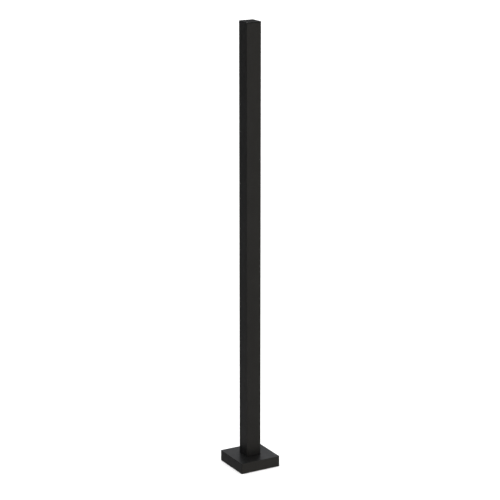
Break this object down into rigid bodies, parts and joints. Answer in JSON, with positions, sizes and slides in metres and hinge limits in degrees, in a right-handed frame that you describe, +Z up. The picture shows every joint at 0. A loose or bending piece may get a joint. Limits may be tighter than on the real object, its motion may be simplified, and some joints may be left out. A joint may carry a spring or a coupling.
{
  "type": "barrier post",
  "caption": "Slim square steel barrier post with a flat push-in cap, standing on a bolted foot plate under a square cover that slides up the post.",
  "frame": {"origin": "on the floor, at the centre of the square foot", "axes": "+Z up along the post; the faces of the post and the foot look along X and Y; the front is -Y"},
  "size_m": [0.0888, 0.0888, 0.9144],
  "materials": {
    "powder_coat": "black satin powder coat",
    "cover_coat": "black semi-gloss powder coat",
    "cap_plastic": "black moulded, matt",
    "liner_nylon": "black nylon, matt",
    "gasket_rubber": "black solid rubber sheet",
    "bare_steel": "bare drawn tube, lightly oiled",
    "plated_steel": "bright zinc plate",
    "weld_metal": "ground flush"
  },
  "bodies": {
    "post": {"post_tube": "powder_coat", "top_cap": "cap_plastic", "foot_plate": "powder_coat", "spigot": "bare_steel", "spigot_weld": "weld_metal", "floor_gasket": "gasket_rubber", "foot_screw_right": "plated_steel", "foot_screw_back": "plated_steel", "foot_screw_left": "plated_steel", "foot_screw_front": "plated_steel", "foot_washer_right": "plated_steel", "foot_washer_back": "plated_steel", "foot_washer_left": "plated_steel", "foot_washer_front": "plated_steel"},
    "cover": {"base_cover": "cover_coat", "cover_liner": "liner_nylon"}
  },
  "joints": [
    {"name": "cover_slide", "type": "slide", "parent": "post", "child": "cover", "axis": [0, 0, 1], "range_m": [0, 0.892]}
  ]
}
